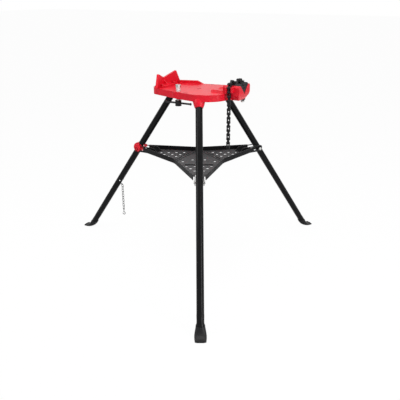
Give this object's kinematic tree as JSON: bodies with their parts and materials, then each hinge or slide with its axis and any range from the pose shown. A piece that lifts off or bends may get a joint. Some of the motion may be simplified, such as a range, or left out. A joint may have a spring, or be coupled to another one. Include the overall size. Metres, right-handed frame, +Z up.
{
  "type": "tripod pipe vise stand",
  "caption": "Folding tripod stand whose cast head holds a chain pipe vise, a pipe rest and a ceiling brace screw, with a hinged tool tray between its legs.",
  "frame": {"origin": "on the floor, on the axis of the tripod", "axes": "+Z up; +X horizontal along the pipe, towards the jaw; the rear leg is at -X"},
  "size_m": [1.2168, 1.405, 0.9693],
  "materials": {
    "red_paint": "bright red gloss paint on cast iron",
    "black_tube": "black gloss powder coat on steel tube",
    "black_vinyl": "dipped black vinyl with a fine grain",
    "tray_paint": "dark grey to black satin paint on pressed sheet",
    "zinc_steel": "bright zinc plate",
    "jaw_steel": "black oxide on hardened steel",
    "chain_steel": "oiled black oxide on steel links",
    "black_iron": "black painted iron hub and bars"
  },
  "bodies": {
    "head": {"jaw_screws": "jaw_steel", "leg_pivot_pins": "zinc_steel", "pipe_rest": "red_paint", "rest_screws": "zinc_steel", "vise_base": "red_paint", "vise_chain_over_jaw": "chain_steel", "vise_jaw": "jaw_steel"},
    "leg_near": {"leg_tube_near": "black_tube", "tray_bolt_near": "zinc_steel", "vinyl_foot_near": "black_vinyl"},
    "leg_rear": {"leg_tube_rear": "black_tube", "rear_leg_collar": "red_paint", "retainer_eye": "chain_steel", "tray_bolt_rear": "zinc_steel", "vinyl_foot_rear": "black_vinyl"},
    "leg_far": {"leg_tube_far": "black_tube", "tray_bolt_far": "zinc_steel", "vinyl_foot_far": "black_vinyl"},
    "tray": {"tray_centre": "tray_paint", "tray_hinge_pins": "zinc_steel"},
    "leaf_near": {"tray_leaf_near": "tray_paint"},
    "leaf_rear": {"tray_leaf_rear": "tray_paint"},
    "leaf_far": {"tray_leaf_far": "tray_paint"},
    "brace_rod": {"brace_cup": "zinc_steel"},
    "brace_handle": {"brace_bar": "black_iron", "brace_hub": "black_iron", "brace_screw": "zinc_steel"},
    "tension_rod": {"tension_screw": "zinc_steel"},
    "tension_handle": {"tension_grips": "black_iron", "tension_nut": "black_iron"},
    "tail_1": {"vise_chain_tail_1": "chain_steel"},
    "tail_2": {"vise_chain_tail_2": "chain_steel"},
    "tail_3": {"vise_chain_tail_3": "chain_steel"},
    "tail_4": {"vise_chain_tail_4": "chain_steel"},
    "retainer": {"retainer_chain": "chain_steel", "retainer_hook": "chain_steel"}
  },
  "joints": [
    {"name": "leg_near_fold", "type": "hinge", "parent": "head", "child": "leg_near", "pos_m": [0.072, -0.12471, 0.879], "axis": [0.866, 0.5, 0], "range_deg": [0, 35]},
    {"name": "leg_rear_fold", "type": "hinge", "parent": "head", "child": "leg_rear", "pos_m": [-0.144, 0, 0.879], "axis": [0, -1, 0], "range_deg": [0, 35]},
    {"name": "leg_far_fold", "type": "hinge", "parent": "head", "child": "leg_far", "pos_m": [0.072, 0.12471, 0.879], "axis": [-0.866, 0.5, 0], "range_deg": [0, 35]},
    {"name": "tray_rise", "type": "slide", "parent": "head", "child": "tray", "axis": [0, 0, 1], "range_m": [0, 0.1812]},
    {"name": "leaf_near_fold", "type": "hinge", "parent": "tray", "child": "leaf_near", "pos_m": [0.0425, -0.07361, 0.538], "axis": [0.866, 0.5, 0], "range_deg": [0, 81.3]},
    {"name": "leaf_rear_fold", "type": "hinge", "parent": "tray", "child": "leaf_rear", "pos_m": [-0.085, 0, 0.538], "axis": [0, -1, 0], "range_deg": [0, 81.3]},
    {"name": "leaf_far_fold", "type": "hinge", "parent": "tray", "child": "leaf_far", "pos_m": [0.0425, 0.07361, 0.538], "axis": [-0.866, 0.5, 0], "range_deg": [0, 81.3]},
    {"name": "brace_rise", "type": "slide", "parent": "head", "child": "brace_rod", "axis": [0, 0, 1], "range_m": [-0.018, 0.012]},
    {"name": "brace_turn", "type": "hinge", "parent": "brace_rod", "child": "brace_handle", "pos_m": [-0.05, -0.11, 0.85], "axis": [0, 0, 1], "range_deg": [-1296, 864]},
    {"name": "tension_draw", "type": "slide", "parent": "head", "child": "tension_rod", "axis": [0, 0, -1], "range_m": [0, 0.01]},
    {"name": "tension_turn", "type": "hinge", "parent": "head", "child": "tension_handle", "pos_m": [0.2, 0.08, 0.864], "axis": [0, 0, 1], "range_deg": [0, 1440]},
    {"name": "chain_swing_1", "type": "hinge", "parent": "head", "child": "tail_1", "pos_m": [0.2, -0.0694, 0.93312], "axis": [1, 0, 0], "range_deg": [-55, 0]},
    {"name": "chain_swing_2", "type": "hinge", "parent": "tail_1", "child": "tail_2", "pos_m": [0.2, -0.0694, 0.85312], "axis": [1, 0, 0], "range_deg": [-35, 35]},
    {"name": "chain_swing_3", "type": "hinge", "parent": "tail_2", "child": "tail_3", "pos_m": [0.2, -0.0694, 0.77312], "axis": [1, 0, 0], "range_deg": [-35, 35]},
    {"name": "chain_swing_4", "type": "hinge", "parent": "tail_3", "child": "tail_4", "pos_m": [0.2, -0.0694, 0.69312], "axis": [1, 0, 0], "range_deg": [-35, 35]},
    {"name": "retainer_swing", "type": "hinge", "parent": "leg_rear", "child": "retainer", "pos_m": [-0.50269, 0, 0.31496], "axis": [0, 1, 0], "range_deg": [-35, 35]}
  ],
  "couplings": [
    {"joint": "leg_rear_fold", "follows": "leg_near_fold", "ratio": 1},
    {"joint": "leg_far_fold", "follows": "leg_near_fold", "ratio": 1},
    {"joint": "tray_rise", "follows": "leg_near_fold", "m_per_rad": 0.29628},
    {"joint": "leaf_near_fold", "follows": "leg_near_fold", "ratio": 2.3226},
    {"joint": "leaf_rear_fold", "follows": "leg_near_fold", "ratio": 2.3226},
    {"joint": "leaf_far_fold", "follows": "leg_near_fold", "ratio": 2.3226},
    {"joint": "brace_rise", "follows": "brace_turn", "m_per_rad": 0.00079577},
    {"joint": "tension_draw", "follows": "tension_turn", "m_per_rad": 0.00039789}
  ]
}
